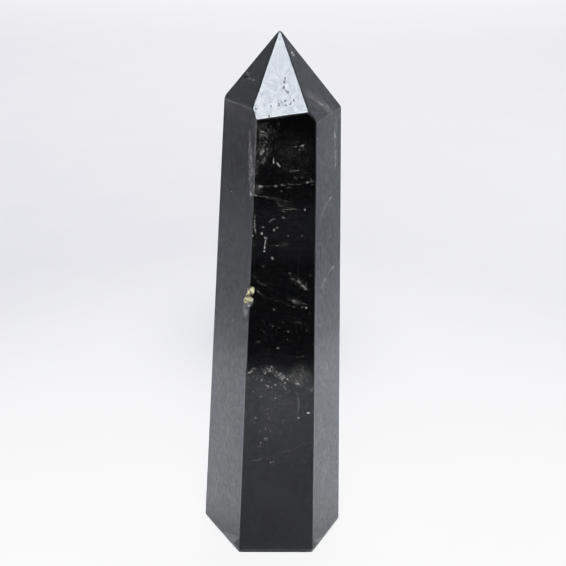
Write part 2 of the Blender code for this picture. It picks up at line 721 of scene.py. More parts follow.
def wave_faces(crystal, depth):
    """Hollows the faces very slightly, and only inwards, as hand polishing does."""
    lump(crystal, "CLOUDS", POLISH_WAVE_LENGTH, depth, middle=1.0)


def break_chip(crystal, chip, name):
    """Bites one chip out of an edge, with the ripples of a quartz break."""
    cutter = lumpy_ball(f"cutter_{name}", detail=5, lump_size=0.8, lump_depth=0.34)
    lump(cutter, "WOOD", 0.3, 0.03, wood_type="RINGNOISE", noise_basis_2="SIN", turbulence=0.6)
    lump(cutter, "CLOUDS", 0.22, 0.06)
    face = Face(chip.middle, radians(chip.azimuth), radians(chip.lean))
    lie_on(cutter, face, face.point, chip.half_size)
    settle(cutter)
    cut_out(crystal, cutter)


def meeting_point(a, b, height):
    """Where two upright faces meet at that height."""
    start = a.place(a.across.dot(a.point), height)
    gap = (b.point - start).dot(b.outward)
    return start + a.across * (gap / a.across.dot(b.outward))


def edge_lines(faces):
    """The corners between neighbouring sides, as (low point, high point)."""
    neighbours = zip(PRISM_SIDES, PRISM_SIDES[1:] + PRISM_SIDES[:1])
    return [
        [meeting_point(faces[first], faces[second], height) for height in CORNER_ENDS]
        for first, second in neighbours
    ]


def shining_lines(faces, aside):
    """A line just beside each corner, on the side that is turned further from the front."""
    lines = []
    for number, (low, high) in enumerate(edge_lines(faces)):
        if number < len(PRISM_SIDES) // 2:
            shift = faces[PRISM_SIDES[number + 1]].across * aside
        else:
            shift = faces[PRISM_SIDES[number]].across * -aside
        lines.append((low + shift, high + shift))
    return lines


def nick_edges(crystal, faces, how_many):
    """Leaves tiny chips along the corners, which are gone round again and again on the way up."""
    chance = Random(NICK_SEED)
    lines = edge_lines(faces)
    rounds = how_many / len(lines)
    pattern = lumpy_ball("cutter_nick", detail=2, lump_size=0.7, lump_depth=0.5)
    nicks = []
    for number in range(how_many):
        low, high = lines[number % len(lines)]
        size = chance.uniform(*NICK_SIZES) * MM
        stretched = Matrix.Diagonal((size, size, size * chance.uniform(*NICK_STRETCH), 1.0))
        turn = Euler([chance.uniform(-0.4, 0.4) for _ in range(2)] + [chance.uniform(*ANY_TURN)])
        place = low.lerp(high, (number // len(lines) + chance.uniform(0.1, 0.9)) / rounds)
        nick = own_copy(pattern)
        nick.matrix_world = Matrix.Translation(place) @ turn.to_matrix().to_4x4() @ stretched
        nicks.append(nick)
    cut_out_copies(crystal, pattern, nicks)


def pit_facet(crystal, face):
    """Leaves a few tiny pits in the bright facet of the tip."""
    chance = Random(PIT_SEED)
    pattern = lumpy_ball("cutter_pit", detail=3, lump_size=0.7, lump_depth=0.3)
    pits = []
    for across, height in FACET_PITS:
        size = chance.uniform(0.7, 1.2) * PIT_BALL
        place = face.place(across * MM, height * MM, PIT_DEPTH - size)
        turn = Euler([chance.uniform(*ANY_TURN) for _ in range(3)])
        pit = own_copy(pattern)
        pit.matrix_world = Matrix.Translation(place) @ turn.to_matrix().to_4x4() @ Matrix.Scale(size, 4)
        pits.append(pit)
    cut_out_copies(crystal, pattern, pits)


def shade(crystal):
    """Smooth across the rounded edges and flat across the ground faces."""
    start_editing(crystal)
    bpy.ops.mesh.remove_doubles(threshold=MERGED_WITHIN)
    bpy.ops.mesh.normals_make_consistent(inside=False)
    stop_editing()
    bpy.ops.object.shade_smooth_by_angle(angle=SHARP_FROM)
    weigh = crystal.modifiers.new("even normals", "WEIGHTED_NORMAL")
    weigh.mode = "FACE_AREA"
    weigh.weight = WEIGHTED_BY_AREA
    weigh.keep_sharp = True
    apply_modifier(crystal, weigh)


def quartz_roughness(tree, quartz, polish, worn):
    """A clean face's blur, with a little more where it is marked and much more where it is broken."""
    rough = quartz.polish_roughness
    for mark, more in MARK_ROUGHNESS.items():
        rough = calculate(tree, "MULTIPLY_ADD", polish[mark], more, rough)
    return calculate(tree, "MULTIPLY_ADD", worn, quartz.broken_roughness, rough)


def quartz_relief(tree, where, polish, worn):
    """The normals of the pits, the scratches and the splintered breaks."""
    splinters = calculate(tree, "MULTIPLY", grain(tree, where, 3000.0, 6.0, 0.7), worn)
    dents = calculate(tree, "MULTIPLY", polish["Pits"], MARK_HEIGHT)
    rises = calculate(tree, "MULTIPLY_ADD", splinters, SPLINTER_HEIGHT, dents)
    height = calculate(tree, "MULTIPLY_ADD", polish["Scratches"], MARK_HEIGHT, rises)
    bump = {"Height": height, "Strength": RELIEF_STRENGTH, "Distance": RELIEF_DEPTH}
    return add_node(tree, "ShaderNodeBump", bump).outputs["Normal"]


def quartz_material(quartz, faces):
    """See-through smoky quartz: it swallows light within a few millimetres, so that only what lies
    just under its surface shows, and the rest looks black behind the polish."""
    material, tree, shader, where = new_material("morion_quartz")
    polish = add_node(tree, "ShaderNodeGroup", {"Vector": where}, node_tree=hand_polish_group()).outputs
    worn = broken_mask(tree, where)
    zoning = remap(tree, grain(tree, where, 70.0, 3.0), 0.35, 0.7)
    corners = corner_mask(tree, where, faces, quartz.shine_width)
    shine = calculate(tree, "MULTIPLY", corners, quartz.corner_shine)
    bloom = remap(tree, grain(tree, where, 1000.0, 4.0, 0.75), 0.40, 0.64, 0.0, quartz.bloom)
    surface = {
        "Base Color": mix_colours(tree, zoning, CLEAR_ZONE, SMOKY_ZONE),
        "Roughness": quartz_roughness(tree, quartz, polish, worn),
        "Metallic": 0.0,
        "IOR": quartz.ior,
        "Normal": quartz_relief(tree, where, polish, worn),
        "Transmission Weight": 1.0,
        "Coat Weight": calculate(tree, "MAXIMUM", shine, bloom),
    }
    feed(shader, surface)
    inside = {"Color": opaque(quartz.smoke_colour), "Density": quartz.smoke_density}
    smoke = add_node(tree, "ShaderNodeVolumeAbsorption", inside)
    feed(tree.nodes["Material Output"], {"Volume": smoke.outputs["Volume"]})
    return material


def broken_mask(tree, where):
    """1 in the chips and scuffs, 0 elsewhere."""
    total = 0.0
    for place in WORN_PLACES:
        total = calculate(tree, "MAXIMUM", worn_mask(tree, where, place), total)
    return total


def worn_mask(tree, where, place):
    """1 in one worn place, 0 elsewhere."""
    inputs = {"Vector": where}
    inputs.update({"Centre": place.centre, "Radius": place.radius, "Raggedness": place.raggedness})
    return add_node(tree, "ShaderNodeGroup", inputs, node_tree=worn_place_group()).outputs["Mask"]


def corner_mask(tree, where, faces, width):
    """1 on the strips beside the corners, which years of handling have polished brighter."""
    total = 0.0
    for low, high in shining_lines(faces, SHINE_ASIDE * width):
        inputs = {"Vector": where, "Start": low, "Direction": (high - low).normalized(), "Width": width}
        corner = add_node(tree, "ShaderNodeGroup", inputs, node_tree=corner_group())
        total = calculate(tree, "MAXIMUM", corner.outputs["Mask"], total)
    return total


class MORION_OT_crystal(Operator):
    """Grind the point out of a block, soften its edges and break its chips out"""

    bl_idname = "morion.crystal"
    bl_label = "Crystal"

    def execute(self, context):
        shape = context.scene.morion_shape
        faces = ground_faces(shape)
        crystal = rough_block(shape)
        grind(crystal, faces)
        soften_edges(crystal, shape.edge_rounding)
        slice_up(crystal, shape.apex)
        wave_faces(crystal, shape.polish_waves)
        for name, chip in CHIPS.items():
            break_chip(crystal, chip, name)
        nick_edges(crystal, faces, shape.edge_nicks)
        pit_facet(crystal, faces["tip_front"])
        shade(crystal)
        ride_along(crystal, quartz_material(context.scene.morion_quartz, faces))
        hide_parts(NODE)
        return {"FINISHED"}


# ---------------------------------------------------------------- what is sealed in


class Trace(NamedTuple):
    """A healed fracture that shows as a line: the line's points as (across, height) on a face in
    millimetres, how dense the film is, how wide it spreads away from the line, how steeply it
    sinks as it spreads (degrees from the face) and how deep the line itself lies. The film
    spreads to the left of the way the points run, so upwards from a line drawn to the right."""

    points: tuple
    dense: float = 0.6
    spread: float = 0.7
    sink: float = 25.0
    depth: float = 0.08
    face: str = "front"


class Patch(NamedTuple):
    """A milky cloud that lies along a face: its middle as (across, height), its half-width and
    half-height, its turn in the face (degrees), its density and its depth."""

    middle: tuple
    half_size: tuple
    turn: float
    dense: float
    depth: float = 0.3
    face: str = "front"


class Fleck(NamedTuple):
    """One bright grain: its place on the face, its length and width, how solid it is and its turn
    in the face (degrees, 0 is level)."""

    place: tuple
    length: float
    width: float
    solid: float
    turn: float = 0.0
    face: str = "front"


class Beads(NamedTuple):
    """A broken row of grains along a line on the front, how wide the widest is and how solid."""

    points: tuple
    width: float
    solid: float


TRACES = (
    Trace(((-2.2, 98.6), (-0.2, 98.4), (1.8, 98.8)), 0.5),
    Trace(((1.8, 98.8), (3.3, 99.3), (4.7, 99.5)), 0.6, 0.5),
    Trace(((2.0, 98.9), (2.1, 98.0), (2.6, 97.3)), 0.5, 0.5),
    Trace(((0.9, 94.3), (2.3, 94.1), (3.9, 94.5)), 0.7, 0.4),
    Trace(((-5.3, 91.2), (-3.1, 90.9), (-0.7, 91.1), (0.7, 91.3)), 0.5, 0.5),
    Trace(((0.4, 91.2), (2.6, 91.3), (4.6, 91.4)), 0.4, 0.5),
    Trace(((4.4, 91.4), (5.9, 91.9), (7.2, 92.1)), 0.9, 0.5),
    Trace(((-5.9, 89.2), (-3.7, 88.7), (-2.4, 88.4)), 1.0, 0.5),
    Trace(((-2.6, 88.4), (-1.0, 88.3), (0.6, 87.9), (2.0, 87.5)), 0.7, 0.4),
    Trace(((-0.8, 88.1), (-0.5, 87.3), (-0.1, 86.6), (0.8, 85.9)), 0.5, 0.3),
    Trace(((0.8, 85.9), (2.5, 86.0), (4.1, 85.8)), 0.3, 0.6),
    Trace(((4.1, 85.8), (5.1, 86.2), (6.5, 86.6)), 0.4, 0.4),
    Trace(((-5.1, 82.3), (-5.1, 83.6), (-5.15, 85.0)), 1.2, 0.2, 10.0),
    Trace(((-2.0, 83.2), (-1.5, 83.7), (-0.8, 84.1)), 1.2, 0.4),
    Trace(((0.2, 84.4), (0.8, 84.1), (1.6, 83.9)), 1.1, 0.4),
    Trace(((-4.8, 78.6), (-3.5, 78.2), (-1.1, 78.0), (1.2, 78.2)), 0.5, 0.4),
    Trace(((-0.2, 78.2), (1.4, 78.1), (2.8, 78.7)), 0.5, 1.0),
    Trace(((2.8, 79.2), (4.9, 79.6), (7.6, 79.5)), 0.4, 0.5),
    Trace(((-5.8, 78.4), (-5.1, 78.1), (-4.4, 77.7)), 0.7, 0.3),
    Trace(((-5.7, 71.6), (-4.9, 70.7), (-4.1, 69.6), (-3.2, 69.1), (-1.3, 69.2)), 0.55, 0.5),
    Trace(((-4.9, 68.1), (-3.8, 67.1), (-2.5, 66.1), (-1.3, 65.7)), 0.8, 0.4),
    Trace(((-1.3, 65.7), (0.4, 65.2), (2.6, 64.3)), 0.5, 0.5),
    Trace(((2.2, 66.2), (2.9, 65.6), (3.6, 65.0), (5.1, 64.8), (6.8, 64.4)), 0.6, 0.5),
    Trace(((2.2, 60.9), (3.4, 60.4), (4.8, 60.1), (6.2, 59.5), (7.5, 59.2)), 0.5, 0.6),
    Trace(((-6.3, 47.8), (-5.2, 48.6), (-4.1, 49.1)), 0.9, 0.9),
    Trace(((-4.1, 49.1), (-2.7, 49.5), (-1.2, 49.8)), 0.4, 0.9),
    Trace(((-0.3, 48.1), (0.8, 47.2), (1.9, 46.4)), 0.6, 1.0),
    Trace(((2.2, 46.5), (2.6, 47.4), (3.2, 47.2), (2.9, 46.4)), 0.7, 0.3),
    Trace(((3.9, 45.8), (4.5, 45.3), (6.0, 45.0)), 1.1, 0.7),
    Trace(((6.0, 44.6), (7.0, 43.9), (8.2, 43.8)), 0.6, 0.6),
    Trace(((-5.4, 43.6), (-5.0, 43.2), (-3.0, 43.2)), 0.6, 0.6),
    Trace(((1.2, 44.2), (2.8, 43.6), (4.1, 43.0), (4.9, 42.2)), 0.7, 0.7),
    Trace(((4.7, 37.5), (5.0, 38.6), (5.2, 40.4), (4.9, 42.2)), 0.9, 0.5),
    Trace(((4.8, 37.3), (5.1, 36.8), (5.9, 37.1)), 0.7, 0.4),
    Trace(((0.8, 40.2), (2.2, 40.4), (3.8, 40.5)), 0.5, 0.6),
    Trace(((-2.5, 36.5), (-0.8, 36.4), (0.9, 36.5)), 0.5, 0.6),
    Trace(((-6.9, 24.9), (-5.1, 25.2), (-2.9, 25.8), (0.0, 26.8)), 0.6, 0.5),
    Trace(((0.0, 26.8), (3.4, 28.2), (6.7, 29.8), (8.6, 30.1)), 0.7, 0.5),
    Trace(((5.2, 26.9), (6.4, 25.5), (7.6, 23.9), (8.5, 22.3)), 0.6, 0.4),
    Trace(((-5.9, 12.1), (-5.0, 11.3), (-4.3, 10.8)), 0.7, 0.3),
    Trace(((-7.7, 1.9), (-5.1, 2.0), (-2.6, 1.9)), 0.4, 0.3),
    Trace(
        ((4.2, 102.3), (4.9, 99.0), (5.2, 94.8), (5.6, 90.7), (6.0, 88.8)),
        0.2, 0.8, 8.0, face="front_left",
    ),
    Trace(((5.2, 63.6), (5.6, 62.0), (5.2, 60.4)), 0.8, 0.4, 8.0, face="front_left"),
    Trace(((6.7, 64.2), (6.3, 62.6), (6.7, 60.8)), 0.8, 0.4, 8.0, face="front_left"),
    Trace(
        ((-3.0, 110.0), (-1.8, 110.3), (-0.7, 110.5), (1.1, 110.6)),
        1.2, 0.5, 8.0, face="tip_front_left",
    ),
    Trace(((-4.9, 105.5), (-0.2, 105.9), (5.1, 106.7)), 0.4, 0.5, face="tip_front_left"),
    Trace(
        ((-3.6, 108.4), (-3.0, 107.6), (-0.5, 106.0), (0.8, 104.8), (1.4, 104.0)),
        1.4, 0.8, 8.0, 0.05, face="tip_front_right",
    ),
    Trace(
        ((2.6, 103.3), (2.0, 101.8), (1.9, 100.3), (2.6, 97.7), (2.7, 94.2), (2.3, 91.4)),
        3.4, 0.8, 8.0, 0.05, face="front_right",
    ),
    Trace(
        ((-3.8, 83.3), (-2.6, 84.7), (-0.7, 85.8), (1.6, 86.2)),
        2.4, 0.7, 8.0, 0.05, face="front_right",
    ),
    Trace(
        ((-3.6, 67.0), (-2.3, 68.1), (0.9, 69.4), (4.4, 69.7)),
        2.4, 0.8, 8.0, 0.05, face="front_right",
    ),
    Trace(((-1.6, 47.6), (-0.4, 46.6), (0.5, 45.2), (-0.6, 44.2)), 0.6, 0.7, face="front_right"),
)

PATCHES = (
    Patch((-4.0, 97.9), (1.9, 3.2), -8.0, 0.55, 0.1),
    Patch((-3.4, 102.0), (2.6, 2.4), 0.0, 0.35, 0.1),
    Patch((2.0, 97.5), (5.0, 5.5), 0.0, 0.12, 0.12),
    Patch((-4.7, 90.6), (1.4, 1.5), 0.0, 0.5, 0.1),
    Patch((-5.3, 94.2), (0.8, 2.4), 0.0, 0.5, 0.1),
    Patch((1.4, 86.5), (1.8, 1.2), 0.0, 0.3, 0.1),
    Patch((4.6, 69.6), (2.6, 1.2), -40.0, 0.45, 0.1),
    Patch((5.8, 67.6), (1.2, 1.6), 0.0, 0.15, 0.1),
    Patch((3.6, 65.3), (2.2, 0.9), -20.0, 0.28, 0.1),
    Patch((-1.9, 48.9), (1.8, 1.1), 5.0, 0.9, 0.1),
    Patch((0.9, 47.4), (2.0, 1.2), -40.0, 0.9, 0.1),
    Patch((4.9, 47.3), (2.9, 3.4), -10.0, 0.6, 0.25),
    Patch((4.4, 46.0), (1.2, 0.9), -20.0, 0.6, 0.15),
    Patch((1.7, 44.8), (0.6, 1.5), 0.0, 0.8, 0.1),
    Patch((7.4, 43.9), (1.3, 1.0), 0.0, 0.5, 0.3),
    Patch((-2.6, 45.4), (4.4, 3.6), 0.0, 0.18, 0.12),
    Patch((-4.4, 46.8), (2.4, 1.9), 0.0, 0.22, 0.1),
    Patch((0.4, 38.0), (7.0, 8.0), 0.0, 0.12, 0.12),
    Patch((5.3, 95.4), (1.0, 8.6), 6.0, 0.9, 0.05, face="front_left"),
    Patch((6.0, 89.0), (0.8, 1.0), 0.0, 0.5, 0.06, face="front_left"),
    Patch((1.7, 103.6), (1.2, 0.8), 0.0, 0.4, 0.1, face="front_left"),
    Patch((5.6, 63.0), (1.2, 2.2), -6.0, 0.5, 0.05, face="front_left"),
    Patch((-2.6, 108.3), (3.2, 1.5), -53.0, 0.45, 0.06, face="tip_front_right"),
    Patch((-0.2, 105.9), (2.4, 1.5), -45.0, 0.55, 0.06, face="tip_front_right"),
    Patch((-0.5, 115.7), (0.8, 0.6), 30.0, 1.2, 0.05, face="tip_front_right"),
    Patch((2.4, 98.6), (0.8, 5.6), -4.0, 1.1, 0.06, face="front_right"),
    Patch((-0.5, 92.0), (4.0, 11.0), 0.0, 0.12, 0.08, face="front_right"),
    Patch((0.5, 88.0), (6.0, 14.0), 0.0, 0.1, 0.08, face="front_left"),
    Patch((-0.6, 46.0), (2.6, 2.6), 0.0, 0.4, 0.15, face="front_right"),
    Patch((-1.2, 20.1), (3.0, 3.4), 0.0, 0.35, 0.15, face="front_right"),
    Patch((-3.4, 64.3), (1.3, 1.5), 0.0, 0.3, 0.15, face="front_right"),
)

FLECKS = (
    Fleck((-1.45, 96.1), 0.7, 0.15, 1.0, 97.0),
    Fleck((-0.45, 95.5), 1.2, 0.18, 0.85, -52.0),
    Fleck((-3.7, 102.3), 0.75, 0.26, 0.6),
    Fleck((-0.6, 103.9), 0.18, 0.66, 0.1, 8.0),
    Fleck((-5.0, 103.4), 0.36, 0.29, 0.14),
    Fleck((4.3, 99.6), 0.42, 0.34, 0.24),
    Fleck((4.4, 98.9), 0.45, 0.3, 0.18),
    Fleck((2.9, 99.3), 0.45, 0.25, 0.18),
    Fleck((3.2, 92.8), 0.54, 0.33, 0.1),
    Fleck((4.3, 92.9), 0.45, 0.3, 0.09),
    Fleck((-1.0, 91.0), 0.63, 0.37, 0.18),
    Fleck((0.5, 91.2), 0.54, 0.25, 0.14),
    Fleck((-3.9, 90.9), 0.72, 0.33, 0.18),
    Fleck((-5.3, 91.1), 0.63, 0.33, 0.18, 50.0),
    Fleck((-5.6, 90.2), 0.36, 0.41, 0.14),
    Fleck((7.3, 90.9), 0.27, 0.41, 0.18),
    Fleck((5.1, 86.0), 0.45, 0.16, 0.9, 80.0),
    Fleck((0.8, 85.6), 0.45, 0.3, 0.3, 30.0),
    Fleck((2.1, 86.1), 0.72, 0.21, 0.16),
    Fleck((3.5, 84.6), 0.3, 0.26, 0.25),
    Fleck((-1.1, 81.5), 0.68, 0.28, 0.36, 55.0),
    Fleck((-0.5, 82.0), 0.45, 0.33, 0.36, 30.0),
    Fleck((1.8, 80.3), 0.4, 0.34, 0.2),
    Fleck((4.7, 80.3), 0.34, 0.38, 0.3),
    Fleck((-3.6, 80.7), 0.42, 0.6, 0.45),
    Fleck((-3.3, 82.1), 0.32, 0.38, 0.18),
    Fleck((-5.45, 80.2), 0.3, 0.3, 0.5),
    Fleck((-1.3, 75.2), 0.5, 0.85, 0.22, 25.0),
    Fleck((-3.2, 73.5), 0.7, 0.24, 0.2, 65.0),
    Fleck((2.4, 71.8), 0.45, 0.37, 0.09),
    Fleck((3.0, 70.5), 0.45, 0.41, 0.09),
    Fleck((6.7, 71.4), 0.36, 0.41, 0.16),
    Fleck((3.4, 64.1), 0.5, 0.26, 0.22),
    Fleck((5.2, 68.9), 0.65, 0.32, 0.3, -40.0),
    Fleck((5.9, 68.2), 0.5, 0.26, 0.25, -40.0),
    Fleck((4.3, 70.0), 0.4, 0.3, 0.15),
    Fleck((5.2, 64.0), 0.41, 0.3, 0.22, 40.0),
    Fleck((6.0, 63.9), 0.4, 0.32, 1.0),
    Fleck((7.0, 62.5), 0.32, 0.33, 0.11),
    Fleck((-0.8, 63.4), 0.3, 0.3, 0.1),
    Fleck((-0.95, 59.5), 0.26, 0.3, 0.35),
    Fleck((2.35, 58.25), 0.26, 0.28, 0.35),
    Fleck((0.2, 54.3), 0.41, 0.41, 0.22),
    Fleck((-4.0, 55.7), 0.85, 0.3, 0.2, -10.0),
    Fleck((4.4, 52.1), 0.41, 0.3, 0.09),
    Fleck((5.6, 52.3), 0.63, 0.3, 0.09, 10.0),
    Fleck((-1.1, 49.7), 0.4, 0.3, 0.45, 40.0),
    Fleck((-5.8, 48.2), 0.54, 0.37, 0.36, 25.0),
    Fleck((1.35, 46.7), 0.38, 0.41, 0.43),
    Fleck((2.4, 46.6), 0.4, 0.4, 0.3, -20.0),
    Fleck((-1.7, 44.8), 0.5, 0.42, 0.4),
    Fleck((-0.2, 45.1), 0.36, 0.36, 0.3),
    Fleck((-5.0, 43.4), 0.55, 0.24, 0.3, -25.0),
    Fleck((1.8, 36.1), 0.45, 0.38, 0.18),
    Fleck((-4.4, 36.8), 0.55, 0.36, 0.2, 30.0),
    Fleck((5.1, 36.8), 0.45, 0.38, 0.3, 30.0),
    Fleck((7.25, 38.1), 0.75, 0.34, 0.95, -12.0),
    Fleck((0.7, 5.3), 0.32, 0.3, 0.22),
    Fleck((6.3, 3.3), 0.32, 0.3, 0.22),
    Fleck((-4.7, 7.0), 0.32, 0.3, 0.18),
    Fleck((-1.7, 37.8), 0.4, 0.34, 0.15),
    Fleck((-0.2, 49.9), 0.3, 0.3, 0.15),
    Fleck((6.3, 58.6), 0.36, 0.36, 0.1),
    Fleck((7.6, 55.2), 0.3, 0.36, 0.12),
    Fleck((5.4, 94.4), 13.5, 1.0, 0.04, 96.0, face="front_left"),
    Fleck((6.35, 88.7), 0.6, 0.4, 0.3, 30.0, face="front_left"),
    Fleck((5.3, 63.4), 0.5, 0.36, 0.6, 80.0, face="front_left"),
    Fleck((7.2, 64.4), 0.35, 0.4, 0.5, face="front_left"),
    Fleck((1.1, 75.7), 0.6, 0.16, 0.3, 90.0, face="front_right"),
    Fleck((-0.6, 115.8), 0.7, 0.5, 0.26, 40.0, face="tip_front_right"),
    Fleck((-0.3, 115.3), 0.5, 0.35, 0.2, 10.0, face="tip_front_right"),
)

BEADS = (
    Beads(((-5.1, 84.9), (-5.1, 83.6), (-5.05, 82.4)), 0.2, 0.4),
    Beads(((-5.1, 82.0), (-5.0, 81.2), (-4.8, 80.7)), 0.36, 0.35),
    Beads(((-2.6, 79.8), (-2.9, 78.7), (-3.0, 77.5), (-3.1, 76.6)), 0.22, 0.7),
    Beads(((-3.0, 79.8), (-2.4, 79.7)), 0.24, 0.6),
    Beads(((-2.0, 83.2), (-1.5, 83.7), (-0.8, 84.1)), 0.26, 0.2),
    Beads(((-5.9, 89.1), (-4.8, 88.9), (-3.7, 88.7)), 0.36, 0.18),
    Beads(((-6.2, 47.9), (-5.2, 48.6), (-4.1, 49.1)), 0.34, 0.2),
    Beads(((0.1, 48.0), (0.8, 47.2), (1.6, 46.5)), 0.34, 0.2),
    Beads(((4.0, 45.7), (4.6, 45.2), (5.9, 45.0)), 0.3, 0.2),
    Beads(((4.9, 42.0), (5.2, 40.4), (5.0, 38.6)), 0.26, 0.15),
    Beads(((-4.7, 68.0), (-3.9, 67.2), (-3.3, 66.7)), 0.24, 0.15),
)
FLECK_DEPTH = 0.05
THICKEST_FLECK = 0.12

# A fracture's film: the rows of its mesh, how steeply it thins away from its line, and how thin it
# starts at the line's two ends and how fast it thickens from there.
FILM_ROWS = 5
FILM_THINNING = 1.5
FILM_AT_ENDS = 0.15
FILM_THICKENING = 6.0
CLOUD_CELLS = 16

FILM_SMOOTHNESS = 6
OLD_VEIL = (0.66, 0.64, 0.60, 1.0)

# The grains: their smallest and largest, as shares of the grain size, and the tones they lie between.
SMALLEST_GRAIN = 0.25
LARGEST_GRAIN = 0.85
DULL_GRAIN = (0.60, 0.59, 0.56, 1.0)
BRIGHT_GRAIN = (0.92, 0.92, 0.94, 1.0)

# The sides turned away from the front are filled by chance, from this seed.
SEALED_SEED = 19
HIDDEN_TRACES_A_SIDE = 7
HIDDEN_CLOUD_HEIGHTS = (20.0, 55.0, 88.0)


def spline_points(name, points):
    """A smooth line through the points, as a chain of edges."""
    curve = bpy.data.curves.new(name, "CURVE")
    curve.dimensions = "3D"
    spline = curve.splines.new("BEZIER")
    spline.bezier_points.add(len(points) - 1)
    for handle, point in zip(spline.bezier_points, points):
        handle.co = point
        handle.handle_left_type = "AUTO"
        handle.handle_right_type = "AUTO"
    spline.resolution_u = FILM_SMOOTHNESS
    line = bpy.data.objects.new(name, curve)
    bpy.context.collection.objects.link(line)
    pick(line)
    bpy.ops.object.convert(target="MESH")
    return bpy.context.active_object


def fracture_sheet(trace, face):
    """Draws the line just under the face, then spreads the film from it row by row."""
    points = [face.place(across * MM, height * MM, trace.depth * MM) for across, height in trace.points]
    sheet = spline_points("fracture", points)
    sideways = face.outward.cross(points[-1] - points[0]).normalized()
    spread = sideways * cos(radians(trace.sink)) - face.outward * sin(radians(trace.sink))
    step = spread * (trace.spread * MM / FILM_ROWS)
    edge_points = len(sheet.data.vertices)
    start_editing(sheet)
    for _ in range(FILM_ROWS):
        bpy.ops.mesh.extrude_region_move(TRANSFORM_OT_translate={"value": step})
    # Blender makes the new faces in no fixed order, and the strewn grains depend on their order.
    bpy.ops.mesh.select_all(action="SELECT")
    bpy.ops.mesh.sort_elements(type="CURSOR_DISTANCE", elements={"EDGE", "FACE"})
    stop_editing()
    mark_thickness(sheet, film_thickness(trace.dense, edge_points))
    return sheet


def film_thickness(dense, edge_points):
    """How dense the film is at every point: row after row, each from one end to the other."""
    for row in range(FILM_ROWS + 1):
        fading = (1.0 - row / FILM_ROWS) ** FILM_THINNING
        for place in range(edge_points):
            along = place / (edge_points - 1)
            to_end = min(along, 1.0 - along)
            yield dense * min(1.0, FILM_THICKENING * to_end + FILM_AT_ENDS) * fading


def milky_patch(patch, face):
    """Lays a fine grid under the face, turned in it, with its density falling off outwards."""
    deselect_all()
    bpy.ops.mesh.primitive_grid_add(x_subdivisions=CLOUD_CELLS, y_subdivisions=CLOUD_CELLS, size=2.0)
    sheet = named("cloud")
    middle = face.place(*(part * MM for part in patch.middle), patch.depth * MM)
    half_size = [half * MM for half in patch.half_size]
    lie_on(sheet, face, middle, (*half_size, 1.0), patch.turn)
    falling = [max(0.0, 1.0 - vertex.co.length_squared) for vertex in sheet.data.vertices]
    mark_thickness(sheet, [patch.dense * share for share in falling])
    settle(sheet)
    return sheet


def hidden_traces(chance):
    """The fractures that the sides turned away from the front are given by chance."""
    traces = []
    for side in HIDDEN_SIDES:
        for _ in range(HIDDEN_TRACES_A_SIDE):
            across, height = chance.uniform(-6.0, 2.0), chance.uniform(8.0, 98.0)
            slope = chance.uniform(-0.5, 0.5)
            points = []
            for _ in range(chance.randint(3, 5)):
                points.append((across, height))
                across += chance.uniform(1.0, 1.9)
                height += slope + chance.uniform(-0.5, 0.5)
            dense, spread = chance.uniform(0.4, 0.9), chance.uniform(0.4, 1.0)
            traces.append(Trace(tuple(points), dense, spread, face=side))
    return traces


def hidden_patches(chance):
    """The clouds that go with them."""
    patches = []
    for side in HIDDEN_SIDES:
        for height in HIDDEN_CLOUD_HEIGHTS:
            middle = (chance.uniform(-4.0, 4.0), height + chance.uniform(-8.0, 8.0))
            half_size = (chance.uniform(1.5, 4.0), chance.uniform(1.5, 5.0))
            turn, dense = chance.uniform(-40.0, 40.0), chance.uniform(0.3, 0.7)
            patches.append(Patch(middle, half_size, turn, dense, face=side))
    return patches


def veil_material(inclusions):
    """A healed fracture: a milky film with holes in it, thick where the fracture is dense."""
    material, tree, shader, where = new_material("healed_fracture")
    tones = remap(tree, grain(tree, where, 400.0, 3.0), 0.3, 0.7)
    colour = mix_colours(tree, tones, opaque(inclusions.veil_colour), OLD_VEIL)
    knots = remap(tree, grain(tree, where, 1500.0, 5.0, 0.6), 0.36, 0.64, 0.12, 1.0)
    upright = stretch(tree, where, (1.0, 1.0, 0.4))
    lace = remap(tree, grain(tree, upright, 2500.0, 3.0, 0.6), 0.42, 0.62, 0.08, 1.0)
    patchy = calculate(tree, "MULTIPLY", knots, lace)
    milky = calculate(tree, "MULTIPLY", thickness(tree), inclusions.film_opacity)
    alpha = calculate(tree, "MULTIPLY", patchy, milky, clamp=True)
    feed(shader, {"Base Color": colour, "Alpha": alpha, "Roughness": 0.9})
    return material


def grain_material(name, half_clear=False):
    """Bubbles and tiny crystals, which scatter white. Some of the larger ones are half clear."""
    material, tree, shader, where = new_material(name)
    tones = remap(tree, grain(tree, where, 500.0, 4.0), 0.35, 0.65)
    colour = mix_colours(tree, tones, DULL_GRAIN, BRIGHT_GRAIN)
    feed(shader, {"Base Color": colour, "Roughness": remap(tree, tones, 0.0, 1.0, 0.45, 0.7)})
    if half_clear:
        cloudy = remap(tree, grain(tree, where, 2600.0, 3.0), 0.35, 0.6, 0.7, 1.1)
        feed(shader, {"Alpha": calculate(tree, "MULTIPLY", thickness(tree), cloudy, clamp=True)})
    return material


def random_value(tree, kind, low, high, seed):
    """A Random Value node, whose number sockets come after its vector ones."""
    first = {"FLOAT_VECTOR": 0, "FLOAT": 2}[kind]
    inputs = {first: low, first + 1: high, "Seed": seed}
    return add_node(tree, "FunctionNodeRandomValue", inputs, data_type=kind).outputs[first // 2]


